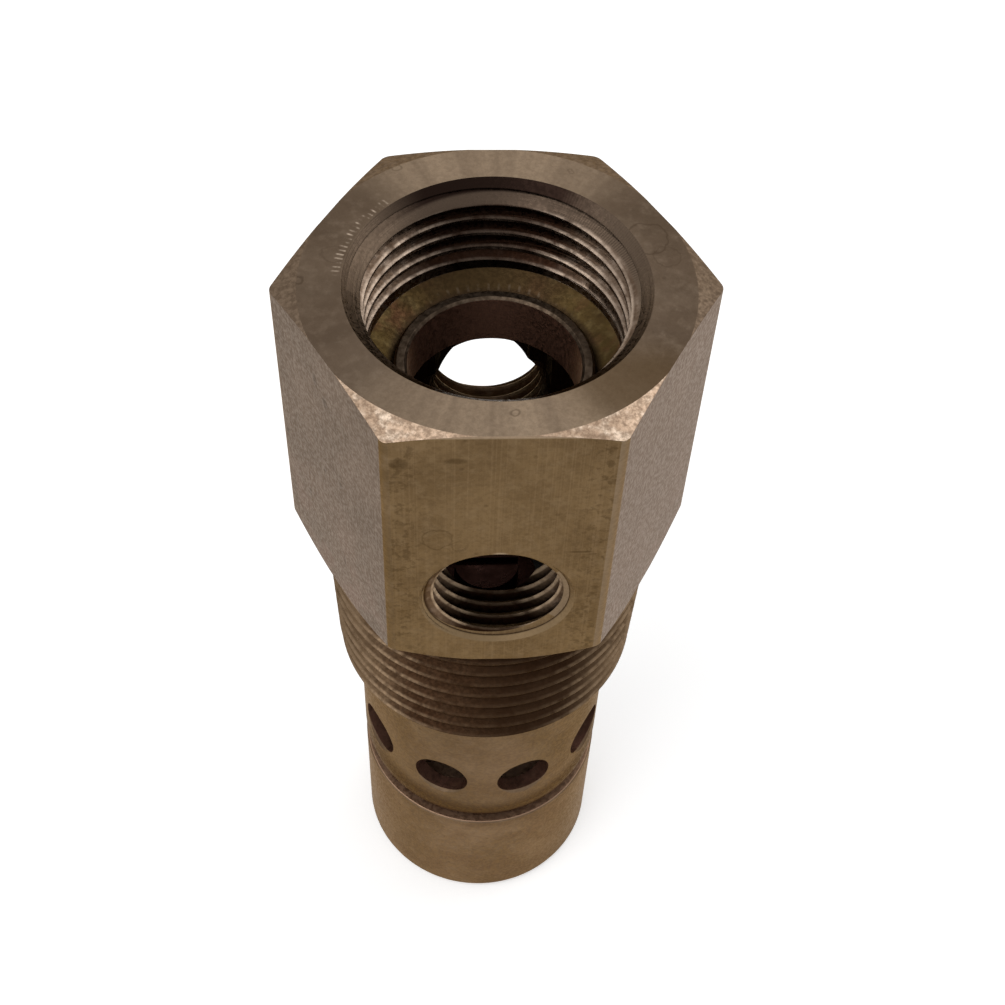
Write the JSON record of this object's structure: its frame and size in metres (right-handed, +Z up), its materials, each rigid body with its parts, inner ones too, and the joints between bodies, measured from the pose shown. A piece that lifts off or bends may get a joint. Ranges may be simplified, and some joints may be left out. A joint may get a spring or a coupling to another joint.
{
  "type": "in-tank non-return valve",
  "caption": "Brass non-return valve for an air tank: hexagonal head with a tapped inlet and side ports, tank thread, and a perforated skirt around a spring-loaded poppet.",
  "frame": {"origin": "middle of the flat lower end that the valve stands on", "axes": "+Z up the valve's axis towards the tapped inlet, -Y towards the upper side port's mouth, +Y towards the lower side port's mouth"},
  "size_m": [0.04, 0.035, 0.0952],
  "materials": {
    "body_brass": "machined, tarnished",
    "plug_brass": "turned, tarnished",
    "inner_brass": "turned",
    "seal_rubber": "matt",
    "steel": "drawn"
  },
  "bodies": {
    "housing": {"valve_body": "body_brass", "seat_ring": "inner_brass", "end_plug": "plug_brass", "spring": "steel"},
    "poppet_assembly": {"poppet": "inner_brass", "seal_disc": "seal_rubber", "seal_washer": "steel", "seal_screw": "steel"}
  },
  "joints": [
    {"name": "poppet_lift", "type": "slide", "parent": "housing", "child": "poppet_assembly", "axis": [0, 0, -1], "range_m": [0, 0.0045], "stiffness_N_per_m": 600, "springref_m": -0.006, "deforming": ["spring"]}
  ]
}
